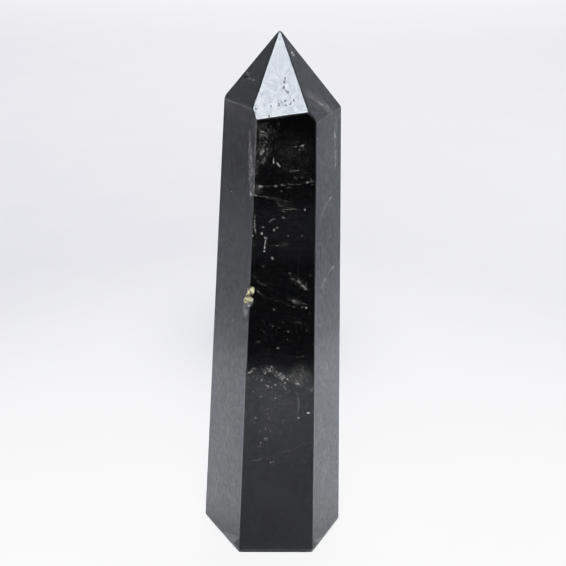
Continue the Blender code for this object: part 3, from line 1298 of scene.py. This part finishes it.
def scatter_nodes(pattern, size, density):
    """Geometry nodes that strew grains over a sheet, more where its density is high."""
    tree = bpy.data.node_groups.new("strew grains", "GeometryNodeTree")
    for way in ("INPUT", "OUTPUT"):
        tree.interface.new_socket("Geometry", in_out=way, socket_type="NodeSocketGeometry")
    sheet = tree.nodes.new("NodeGroupInput").outputs["Geometry"]
    dense = add_node(tree, "GeometryNodeInputNamedAttribute", {"Name": "thickness"}, data_type="FLOAT")
    patchy = add_node(tree, "ShaderNodeTexNoise", {"Scale": 700.0, "Detail": 3.0}).outputs["Fac"]
    clumps = remap(tree, patchy, 0.42, 0.68)
    per_metre = calculate(tree, "MULTIPLY", dense.outputs["Attribute"], clumps)
    per_metre = calculate(tree, "MULTIPLY", per_metre, density / (MM * MM))
    strewing = {"Mesh": sheet, "Density": per_metre, "Seed": 11}
    strewn = add_node(tree, "GeometryNodeDistributePointsOnFaces", strewing)
    stone = add_node(tree, "GeometryNodeObjectInfo", {"Object": pattern})
    copying = {
        "Points": strewn.outputs["Points"],
        "Instance": stone.outputs["Geometry"],
        "Scale": random_value(tree, "FLOAT", size * SMALLEST_GRAIN, size * LARGEST_GRAIN, 3),
        "Rotation": random_value(tree, "FLOAT_VECTOR", (0.0, 0.0, 0.0), (6.28, 6.28, 6.28), 5),
    }
    copies = add_node(tree, "GeometryNodeInstanceOnPoints", copying).outputs["Instances"]
    real = add_node(tree, "GeometryNodeRealizeInstances", {"Geometry": copies})
    add_node(tree, "NodeGroupOutput", {"Geometry": real.outputs["Geometry"]})
    return tree


def strewn_grains(sheets, inclusions):
    """A copy of the sheets, turned into the grains that lie on them."""
    pattern = lumpy_ball("grain_pattern", detail=1, lump_size=0.8, lump_depth=0.5)
    grains = own_copy(sheets)
    grains.name = "sealed_grains"
    grains.data.name = "sealed_grains"
    strew = grains.modifiers.new("strew", "NODES")
    strew.node_group = scatter_nodes(pattern, inclusions.grain_size, inclusions.grain_density)
    apply_modifier(grains, strew)
    bpy.data.objects.remove(pattern)
    return grains


def flat_copy(pattern, face, fleck):
    """A copy of the pebble, pressed flat under a face."""
    copy = own_copy(pattern)
    thick = min(fleck.width, THICKEST_FLECK) * MM
    across, height = fleck.place
    middle = face.place(across * MM, height * MM, FLECK_DEPTH * MM + thick / 2)
    half_size = (fleck.length * MM / 2, fleck.width * MM / 2, thick / 2)
    lie_on(copy, face, middle, half_size, fleck.turn)
    mark_thickness(copy, [fleck.solid] * len(copy.data.vertices))
    return copy


def beads_along(row, chance):
    """Grains of all sizes, strung along a row's line with gaps between them."""
    beads = []
    for start, end in zip(row.points, row.points[1:]):
        span = Vector((*end, 0.0)) - Vector((*start, 0.0))
        share = 0.0
        while share < 1.0:
            width = row.width * chance.uniform(0.35, 1.0)
            aside = chance.uniform(-0.2, 0.2) * row.width
            place = (start[0] + share * span.x + aside, start[1] + share * span.y - aside)
            length = width * chance.uniform(1.0, 1.6)
            solid = row.solid * chance.uniform(0.4, 1.2)
            beads.append(Fleck(place, length, width, solid, chance.uniform(0, 180)))
            share += chance.uniform(1.2, 3.0) * width / span.length
    return beads


def bright_flecks(faces, chance):
    """The larger grains that show one by one."""
    flecks = list(FLECKS)
    for row in BEADS:
        flecks += beads_along(row, chance)
    pattern = lumpy_ball("fleck_pattern", detail=2, lump_size=0.8, lump_depth=0.5)
    copies = [flat_copy(pattern, faces[fleck.face], fleck) for fleck in flecks]
    bpy.data.objects.remove(pattern)
    return joined("bright_flecks", copies)


class MORION_OT_inclusions(Operator):
    """Seal the healed fractures, their grains and the bright flecks in the crystal"""

    bl_idname = "morion.inclusions"
    bl_label = "Sealed inclusions"

    def execute(self, context):
        chance = Random(SEALED_SEED)
        faces = ground_faces(context.scene.morion_shape)
        inclusions = context.scene.morion_inclusions
        traces = TRACES + tuple(hidden_traces(chance))
        patches = PATCHES + tuple(hidden_patches(chance))
        sheets = [fracture_sheet(trace, faces[trace.face]) for trace in traces]
        sheets += [milky_patch(patch, faces[patch.face]) for patch in patches]
        veils = joined("healed_fractures", sheets)
        grains = strewn_grains(veils, inclusions)
        ride_along(veils, veil_material(inclusions))
        ride_along(grains, grain_material("sealed_grains"))
        ride_along(bright_flecks(faces, chance), grain_material("bright_flecks", half_clear=True))
        return {"FINISHED"}


# ---------------------------------------------------------------- the crust in the edge chip


class Lobe(NamedTuple):
    """A lump of crust: its middle, its half-sizes across, up and out, and its turn in degrees."""

    place: tuple
    half_size: tuple
    turn: float


CRUST_LOBES = (
    Lobe((-5.85, -11.7, 67.1), (0.66, 1.45, 0.30), -26.0),
    Lobe((-6.6, -11.2, 65.1), (0.66, 1.00, 0.24), -30.0),
    Lobe((-5.55, -11.85, 68.0), (0.48, 0.60, 0.30), 0.0),
    Lobe((-5.85, -11.70, 67.2), (0.36, 0.50, 0.30), -25.0),
    Lobe((-6.35, -11.40, 66.4), (0.40, 0.80, 0.34), -15.0),
    Lobe((-5.70, -11.80, 65.9), (0.42, 0.60, 0.30), 30.0),
    Lobe((-6.7, -11.12, 65.0), (0.46, 0.76, 0.30), -30.0),
    Lobe((-5.95, -11.62, 65.4), (0.42, 0.38, 0.28), 0.0),
)
CRUST_AZIMUTH = -30.0
CRUST_LEAN = 2.0
CRUST_HOLLOW = WornPlace(Vector((-5.5, -12.0, 66.7)) * MM, 0.75 * MM, 0.5)
PALE_CRUST = (0.80, 0.80, 0.70, 1.0)
HOLLOW_BROWN = (0.02, 0.014, 0.006, 1.0)


def crust_material(inclusions):
    """Cream mineral crust, stained olive in blots and nearly black in its hollow."""
    material, tree, shader, where = new_material("cream_crust")
    blots = remap(tree, grain(tree, where, 1500.0, 5.0, 0.65), 0.40, 0.56)
    stain, cream = opaque(inclusions.stain_colour), opaque(inclusions.crust_colour)
    stained = mix_colours(tree, blots, stain, cream)
    pale = remap(tree, grain(tree, where, 1500.0, 3.0), 0.55, 0.7)
    crust = mix_colours(tree, pale, stained, PALE_CRUST)
    hollow = worn_mask(tree, where, CRUST_HOLLOW)
    bump = {"Height": grain(tree, where, 4000.0, 5.0), "Strength": 0.6, "Distance": 0.08 * MM}
    surface = {
        "Base Color": mix_colours(tree, hollow, crust, HOLLOW_BROWN),
        "Roughness": remap(tree, blots, 0.0, 1.0, 0.5, 0.85),
        "Normal": add_node(tree, "ShaderNodeBump", bump).outputs["Normal"],
    }
    feed(shader, surface)
    return material


def crust_lobe(number, lobe):
    """A lumpy crust, set flat against the broken quartz."""
    turn = (number, 2.0 * number, 0.0)
    piece = lumpy_ball(f"crust_{number}", detail=4, lump_size=0.55, lump_depth=0.7, turn=turn)
    lump(piece, "CLOUDS", 0.2, 0.25)
    face = Face(Vector(lobe.place) * MM, radians(CRUST_AZIMUTH), radians(CRUST_LEAN))
    lie_on(piece, face, face.point, Vector(lobe.half_size) * MM, lobe.turn)
    settle(piece)
    return piece


class MORION_OT_crust(Operator):
    """Line the chip on the front left edge with its cream crust"""

    bl_idname = "morion.crust"
    bl_label = "Chip crust"

    def execute(self, context):
        lobes = [crust_lobe(number, lobe) for number, lobe in enumerate(CRUST_LOBES)]
        crust = joined("edge_crust", lobes)
        bpy.ops.object.shade_smooth()
        ride_along(crust, crust_material(context.scene.morion_inclusions))
        return {"FINISHED"}


# ---------------------------------------------------------------- the studio


FLOOR_RADIUS = 4.0
FLOOR_GAP = 0.05 * MM
FLOOR_BLOTCH_TONE = 0.975

# The soft shadow that is painted into the paper's colour behind the crystal, and how dark it is in its
# middle.
PAINTED_SHADOW_MIDDLE = (0.0, 0.088, 0.0)
PAINTED_SHADOW_RADIUS = 0.055
PAINTED_SHADOW_TONE = 0.66

# The near paper, which doesn't glow: how wide it is to either side of the crystal and how fast that
# widens towards the back, and where it ends in front and behind. The far paper's glow rises over
# these distances from there.
NEAR_HALF_WIDTH = 0.085
NEAR_WIDENING = 0.27
NEAR_FRONT = -0.03
NEAR_BACK = 0.40
GLOW_RISES = (0.03, 0.45)
FAR_GLOW = 0.78


def far_paper(tree, where):
    """0 on the paper round the crystal and behind it, rising to 1 far away on all sides."""
    place = add_node(tree, "ShaderNodeSeparateXYZ", {"Vector": where}).outputs
    beside = calculate(tree, "SUBTRACT", calculate(tree, "ABSOLUTE", place["X"]), NEAR_HALF_WIDTH)
    beside = calculate(tree, "SUBTRACT", beside, calculate(tree, "MULTIPLY", place["Y"], NEAR_WIDENING))
    before = calculate(tree, "SUBTRACT", NEAR_FRONT, place["Y"])
    behind = calculate(tree, "SUBTRACT", place["Y"], NEAR_BACK)
    outside = calculate(tree, "MAXIMUM", calculate(tree, "MAXIMUM", beside, before), behind)
    return remap(tree, outside, *GLOW_RISES)


def paper_material(studio):
    """Faintly blotched paper, with a soft shadow painted into its colour behind the crystal, and glowing
    far away from it.
    """
    material, tree, shader, where = new_material("paper")
    pale = opaque(studio.floor_colour)
    blotches = remap(tree, grain(tree, where, 40.0, 5.0, 0.6), 0.3, 0.7)
    colour = mix_colours(tree, blotches, opaque(studio.floor_colour, FLOOR_BLOTCH_TONE), pale)
    # Painted shadow: the paper's own colour is darkened round a point behind the crystal, where its soft
    # shadow falls.
    shadow = remap(tree, combine(tree, "DISTANCE", where, PAINTED_SHADOW_MIDDLE), PAINTED_SHADOW_RADIUS, 0.0)
    surface = {
        "Base Color": mix_colours(tree, shadow, colour, opaque(studio.floor_colour, PAINTED_SHADOW_TONE)),
        "Roughness": 0.9,
        "Specular IOR Level": 0.1,
        "Emission Color": pale,
        "Emission Strength": calculate(tree, "MULTIPLY", far_paper(tree, where), FAR_GLOW),
    }
    feed(shader, surface)
    return material


def paper_floor(studio):
    """Pale paper out to the horizon, a hair below the foot."""
    deselect_all()
    bpy.ops.mesh.primitive_circle_add(vertices=96, radius=FLOOR_RADIUS, fill_type="NGON")
    floor = named("paper_floor")
    floor.location.z = FOOT_HEIGHT - FLOOR_GAP
    floor.data.materials.append(paper_material(studio))
    settle(floor)


class Card(NamedTuple):
    """A card lying flat, which only reflections see: the way it runs out from the axis, how far its
    middle is shifted from there and lifted, its width, and the greys that it is shaded in along its
    way, as (millimetres from the axis, grey)."""

    way: tuple
    shift: tuple
    width: float
    greys: tuple


CARDS = {
    "front_card": Card(
        (0.0, -1.0, 0.0),
        (0.0, 0.0, 0.001),
        0.2,
        (
            (12, 0.34), (50, 0.38), (89, 0.50), (98, 0.46), (103, 0.31), (107, 0.10),
            (112, 0.06), (119, 0.02), (125, 0.01), (195, 0.03), (210, 0.14), (250, 0.20),
            (275, 0.06), (340, 0.08), (450, 0.04), (900, 0.17),
        ),
    ),
    "left_card": Card(
        (-1.0, 0.0, 0.0),
        (0.0, 0.135, 0.0008),
        0.34,
        (
            (12, 0.60), (22, 0.72), (42, 0.79), (64, 0.83), (80, 0.85), (91, 0.79),
            (106, 0.63), (141, 0.64), (186, 0.67), (210, 0.59), (272, 0.45), (440, 0.45),
        ),
    ),
    "right_card": Card(
        (1.0, 0.0, 0.0),
        (0.0, 0.135, 0.0008),
        0.34,
        (
            (12, 0.54), (20, 0.57), (29, 0.66), (48, 0.70), (72, 0.79), (86, 0.80),
            (100, 0.66), (132, 0.69), (151, 0.62), (172, 0.62), (223, 0.62), (290, 0.65),
            (420, 0.64),
        ),
    ),
}
CARD_TINT = (0.98, 1.0, 1.04)
CARD_SOFT_EDGE = 25.0 * MM


def card_material(name, card, middle, far):
    """The card's greys, fading out to clear at its two sides and its far end."""
    material, tree, shader, where = new_material(name)
    out = combine(tree, "DOT_PRODUCT", where, card.way)
    ramp = add_node(tree, "ShaderNodeValToRGB", {"Fac": calculate(tree, "DIVIDE", out, far)})
    stops = ramp.color_ramp.elements
    stops.remove(stops[0])
    for distance, grey in card.greys:
        stops.new(distance * MM / far).color = opaque(CARD_TINT, grey)
    stops.remove(stops[len(stops) - 1])
    sideways = Vector(card.way).cross((0.0, 0.0, 1.0))
    aside = combine(tree, "DOT_PRODUCT", where, sideways)
    aside = calculate(tree, "ABSOLUTE", calculate(tree, "SUBTRACT", aside, middle.dot(sideways)))
    inside = remap(tree, aside, card.width / 2, card.width / 2 - CARD_SOFT_EDGE)
    before_end = remap(tree, out, far, far - 2 * CARD_SOFT_EDGE)
    alpha = calculate(tree, "MULTIPLY", inside, before_end)
    feed(shader, {"Base Color": ramp.outputs["Color"], "Roughness": 1.0, "Alpha": alpha})
    return material


def mirror_card(name, card):
    """Lays a card down. Its greys set how bright the polished side above it looks."""
    way = Vector(card.way)
    near, far = card.greys[0][0] * MM, card.greys[-1][0] * MM
    middle = way * (near + far) / 2 + Vector(card.shift)
    length, width = way * (far - near), way.cross((0.0, 0.0, 1.0)) * card.width
    deselect_all()
    bpy.ops.mesh.primitive_plane_add(size=1.0, location=middle)
    sheet = named(name)
    sheet.scale = (abs(length.x + width.x), abs(length.y + width.y), 1.0)
    settle(sheet)
    sheet.data.materials.append(card_material(name, card, middle, far))
    sheet.visible_camera = False
    sheet.visible_diffuse = False
    sheet.visible_shadow = False
    sheet.visible_transmission = False


class Lamp(NamedTuple):
    """A flat lamp: where it hangs, where it points, its width and depth, its power, its colour,
    how far its beam opens (degrees), and whether the paper and the polish see it."""

    name: str
    place: tuple
    target: tuple
    size: tuple
    power: float
    colour: tuple
    beam: float = 180.0
    lights_paper: bool = True
    mirrored: bool = True


WARM_WHITE = (1.0, 1.0, 0.95)

LAMPS = (
    Lamp(
        "strip", (0.0, -0.15, 0.35), (0.0, -0.04, 0.0), (0.5, 0.12), 0.13, WARM_WHITE, 25.0,
        mirrored=False,
    ),
    Lamp("back", (0.05, 0.45, 0.6), (0.05, 0.32, 0.0), (0.6, 0.6), 4.3, (0.98, 0.98, 1.08)),
    Lamp("right", (0.25, 0.16, 0.35), (0.25, 0.16, 0.0), (0.2, 0.2), 0.07, (0.95, 1.0, 1.1), 70.0),
    Lamp("front", (0.0, -0.4, 0.42), (0.0, 0.0, 0.0), (0.3, 0.3), 0.12, WARM_WHITE, 60.0),
    Lamp(
        "left_panel", (-0.5, 0.1, 0.45), (0.0, 0.0, 0.1), (0.7, 0.7), 0.48, (0.95, 1.0, 1.06),
        lights_paper=False,
    ),
    Lamp(
        "right_panel", (0.5, 0.1, 0.45), (0.0, 0.0, 0.1), (0.7, 0.7), 0.87, (0.97, 0.98, 1.18),
        lights_paper=False,
    ),
    Lamp(
        "window", (-0.034, -0.112, 0.3), (-0.01, -0.01, 0.11), (0.26, 0.26), 2.75, (0.93, 1.0, 1.13),
        lights_paper=False,
    ),
)

POOL_PLACE = (0.0, -0.05, 0.55)
POOL_TARGET = (0.005, -0.02, 0.0)
POOL_POWER = 5.0
POOL_COLOUR = (0.97, 1.0, 1.04)
POOL_BULB_RADIUS = 0.04
POOL_BEAM = radians(32.0)
POOL_SOFTNESS = 0.4

# The room, by the way one looks into it: how far to each side its side colours reach, how high it
# starts and stops fading to the left colour, and how high the paper's glow reaches in reflections.
ROOM_SIDES = 0.9
ROOM_FADES = (0.4, 0.9)
HORIZON_GLOW = 0.25

# How film answers to light, as (light, answer), with the light as a share of the brightest.
BRIGHTEST = 2.0
FILM_CURVE = ((0.2, 0.4), (0.4, 0.805), (0.5, 0.885), (0.7, 0.95))
FILM_CURVE_END = (1.0, 0.99)

SENSOR_WIDTH = 36.0
CAMERA_SEES_FROM = 0.01


def hang(name, kind, place, target):
    """A lamp of that kind, pointed at its target and out of the camera's sight."""
    light = bpy.data.objects.new(name, bpy.data.lights.new(name, kind))
    light.location = place
    light.rotation_euler = (Vector(target) - Vector(place)).to_track_quat("-Z", "Y").to_euler()
    light.visible_camera = False
    bpy.context.scene.collection.objects.link(light)
    return light


def flat_lamp(lamp, strength):
    light = hang(lamp.name, "AREA", lamp.place, lamp.target)
    light.visible_diffuse = lamp.lights_paper
    light.visible_glossy = lamp.mirrored
    light.data.shape = "RECTANGLE"
    light.data.size, light.data.size_y = lamp.size
    light.data.energy = lamp.power * strength
    light.data.color = lamp.colour
    light.data.spread = radians(lamp.beam)


def pool_of_light(strength):
    """A spotlight from above, which leaves the paper brightest round the crystal's foot."""
    light = hang("pool", "SPOT", POOL_PLACE, POOL_TARGET)
    light.visible_glossy = False
    light.data.energy = POOL_POWER * strength
    light.data.color = POOL_COLOUR
    light.data.shadow_soft_size = POOL_BULB_RADIUS
    light.data.spot_size = POOL_BEAM
    light.data.spot_blend = POOL_SOFTNESS


def room_light(studio):
    """Soft light from all round, a little brighter on the right. The camera and low reflections see
    paper at the horizon instead."""
    world = bpy.data.worlds.new("room")
    bpy.context.scene.world = world
    world.use_nodes = True
    tree = world.node_tree
    where = add_node(tree, "ShaderNodeTexCoord").outputs["Generated"]
    look = add_node(tree, "ShaderNodeSeparateXYZ", {"Vector": where}).outputs
    left, right = opaque(studio.sky_left), opaque(studio.sky_right)
    level = mix_colours(tree, remap(tree, look["X"], -ROOM_SIDES, ROOM_SIDES), left, right)
    colour = mix_colours(tree, remap(tree, look["Z"], *ROOM_FADES), level, left)
    rays = add_node(tree, "ShaderNodeLightPath").outputs
    mirrored = calculate(tree, "MULTIPLY", rays["Is Glossy Ray"], remap(tree, look["Z"], HORIZON_GLOW, 0.0))
    backdrop = calculate(tree, "MAXIMUM", rays["Is Camera Ray"], mirrored)
    colour = mix_colours(tree, backdrop, colour, opaque(studio.floor_colour))
    feed(tree.nodes["Background"], {"Color": colour})


def soften_highlights():
    """Holds back what is brighter than white paper, as film does."""
    view = bpy.context.scene.view_settings
    view.view_transform = "Standard"
    view.look = "None"
    view.use_curve_mapping = True
    curves = view.curve_mapping
    curves.white_level = (BRIGHTEST, BRIGHTEST, BRIGHTEST)
    combined = curves.curves[3].points
    for light, answer in FILM_CURVE:
        combined.new(light, answer)
    combined[len(combined) - 1].location = FILM_CURVE_END
    curves.update()


def place_camera(studio):
    data = bpy.data.cameras.new("camera")
    data.sensor_width = SENSOR_WIDTH
    data.lens = studio.camera_lens
    data.clip_start = CAMERA_SEES_FROM
    camera = bpy.data.objects.new("camera", data)
    camera.location = studio.camera_place
    turn = (
        Matrix.Rotation(-studio.camera_yaw, 4, "Z")
        @ Matrix.Rotation(pi / 2 - studio.camera_pitch, 4, "X")
        @ Matrix.Rotation(studio.camera_roll, 4, "Z")
    )
    camera.rotation_euler = turn.to_euler()
    bpy.context.scene.collection.objects.link(camera)
    bpy.context.scene.camera = camera


class MORION_OT_studio(Operator):
    """Lay the floor, hang the lamps and stand the camera"""

    bl_idname = "morion.studio"
    bl_label = "Studio"

    def execute(self, context):
        studio = context.scene.morion_studio
        paper_floor(studio)
        for name, card in CARDS.items():
            mirror_card(name, card)
        for lamp in LAMPS:
            flat_lamp(lamp, studio.lamp_strength)
        pool_of_light(studio.lamp_strength)
        room_light(studio)
        soften_highlights()
        place_camera(studio)
        return {"FINISHED"}


# ---------------------------------------------------------------- panel and registration


class MORION_PT_panel(Panel):
    """The morion point's pieces and their sizes and colours"""

    bl_idname = "MORION_PT_panel"
    bl_label = "Morion Point"
    bl_space_type = "VIEW_3D"
    bl_region_type = "UI"
    bl_category = "Morion"

    def draw(self, context):
        for operator in OPERATORS:
            self.layout.operator(operator.bl_idname)
        for group, kind in SETTINGS.items():
            box = self.layout.box()
            for name in kind.__annotations__:
                box.prop(getattr(context.scene, group), name)


SETTINGS = {
    "morion_shape": MorionShape,
    "morion_quartz": MorionQuartz,
    "morion_inclusions": MorionInclusions,
    "morion_studio": MorionStudio,
}
OPERATORS = (MORION_OT_crystal, MORION_OT_inclusions, MORION_OT_crust, MORION_OT_studio)


def register():
    for kind in (*SETTINGS.values(), *OPERATORS, MORION_PT_panel):
        bpy.utils.register_class(kind)
    for name, kind in SETTINGS.items():
        setattr(bpy.types.Scene, name, PointerProperty(type=kind))


def unregister():
    for name in SETTINGS:
        delattr(bpy.types.Scene, name)
    for kind in (MORION_PT_panel, *reversed(OPERATORS), *reversed(SETTINGS.values())):
        bpy.utils.unregister_class(kind)


def main():
    register()
    bpy.ops.morion.crystal()
    bpy.ops.morion.inclusions()
    bpy.ops.morion.crust()
    bpy.ops.morion.studio()


if __name__ == "__main__":
    main()
